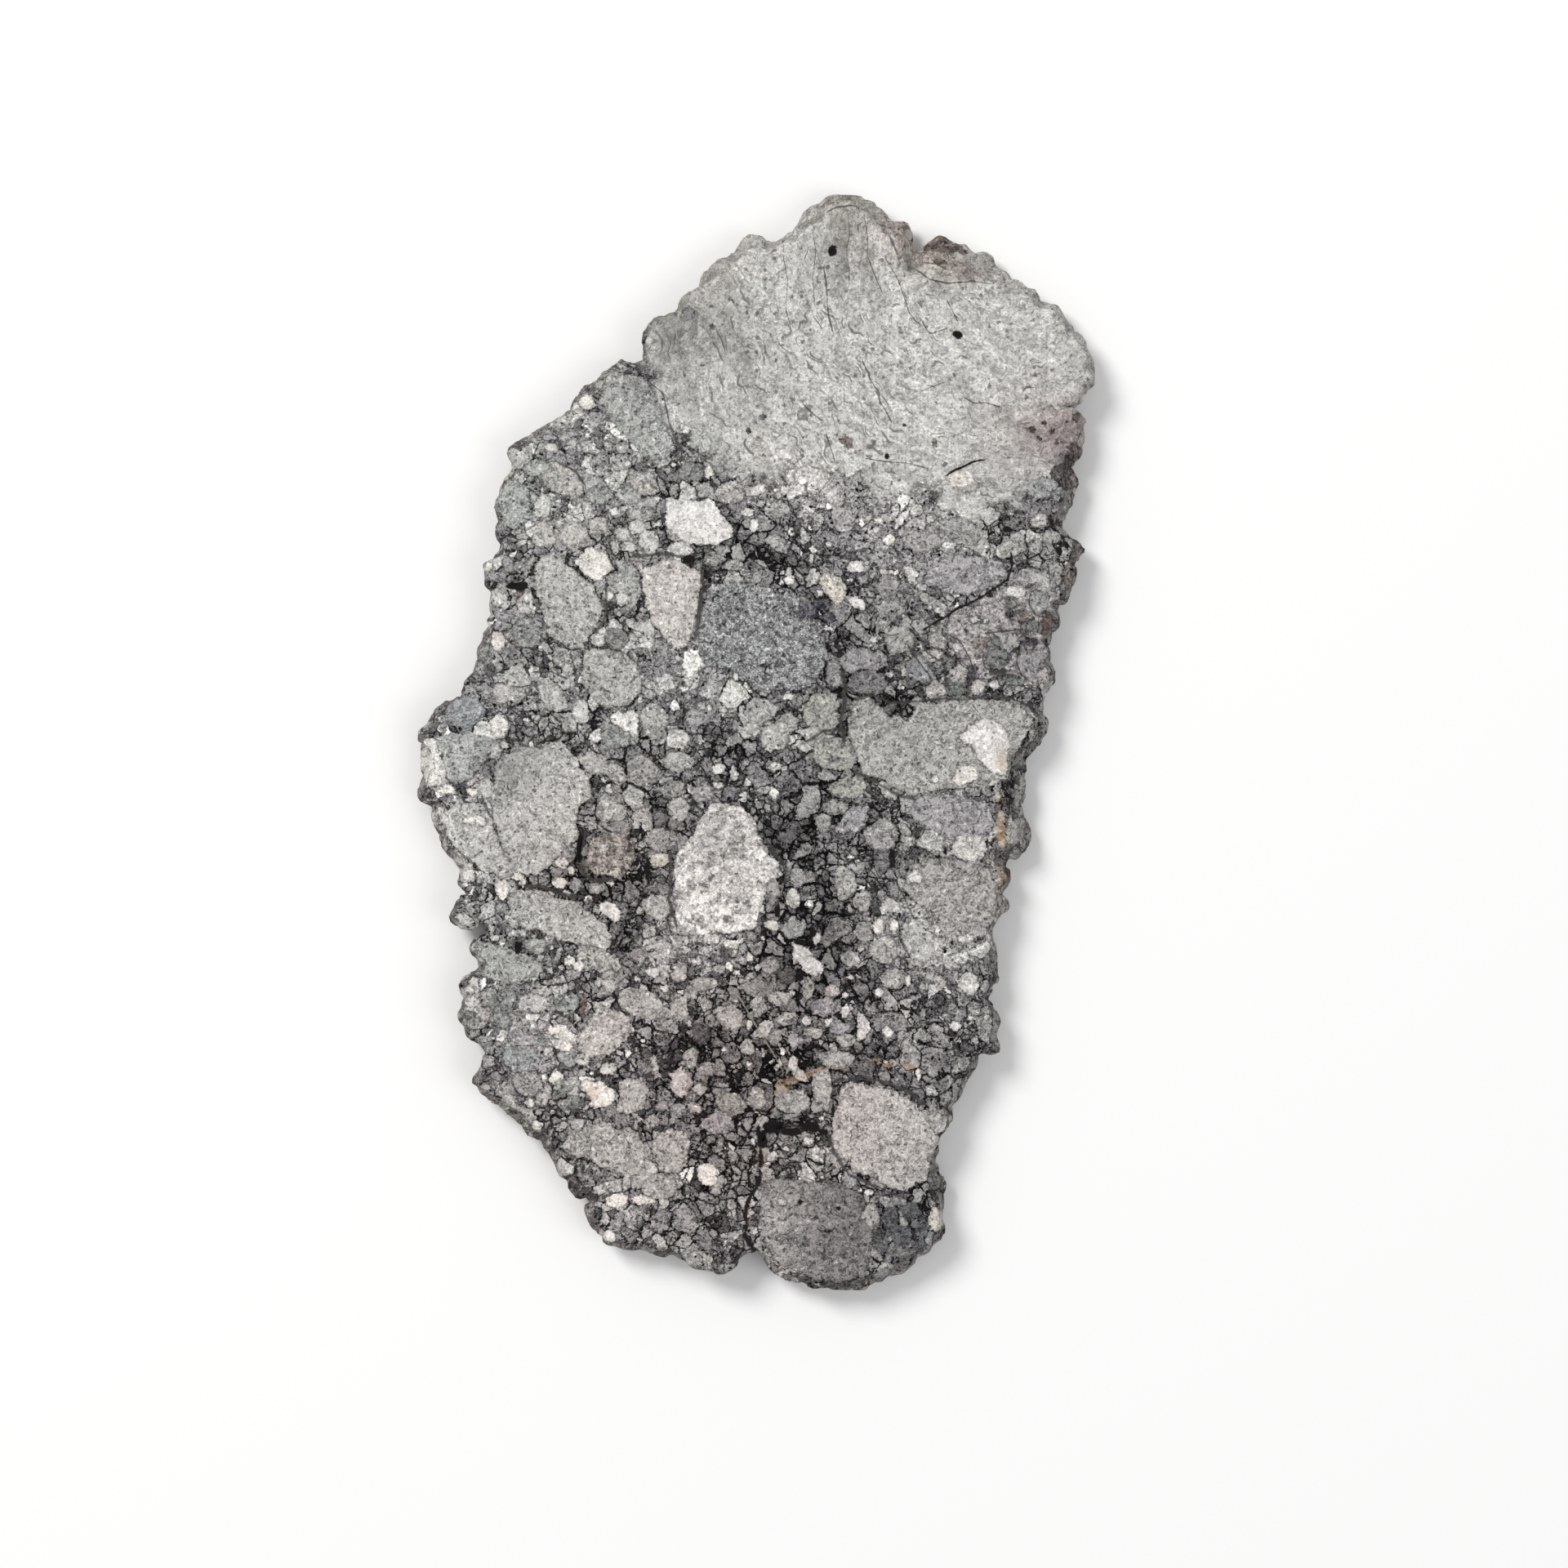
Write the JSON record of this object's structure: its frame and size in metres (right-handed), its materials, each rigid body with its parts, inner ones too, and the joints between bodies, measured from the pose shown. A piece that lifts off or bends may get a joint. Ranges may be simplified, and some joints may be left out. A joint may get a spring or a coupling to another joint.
{
  "type": "lunar meteorite slice",
  "caption": "Flat slice of brecciated lunar rock with a long irregular outline, parallel sawn faces and a rough broken rim; lies on its back face as a display specimen.",
  "frame": {"origin": "middle of the bounding box's foot, in the plane of the sawn back face that it lies on", "axes": "+Y along the slice's long axis towards its pale top knob, +X to the right seen from the front, +Z out of the sawn front face"},
  "size_m": [0.0606, 0.098, 0.004],
  "materials": {
    "lunar_breccia": "sawn matt rock: angular grey, white and pinkish clasts in a dark charcoal matrix, with a rough brownish natural rim"
  },
  "bodies": {
    "root": {"meteorite_slice": "lunar_breccia"}
  },
  "joints": []
}
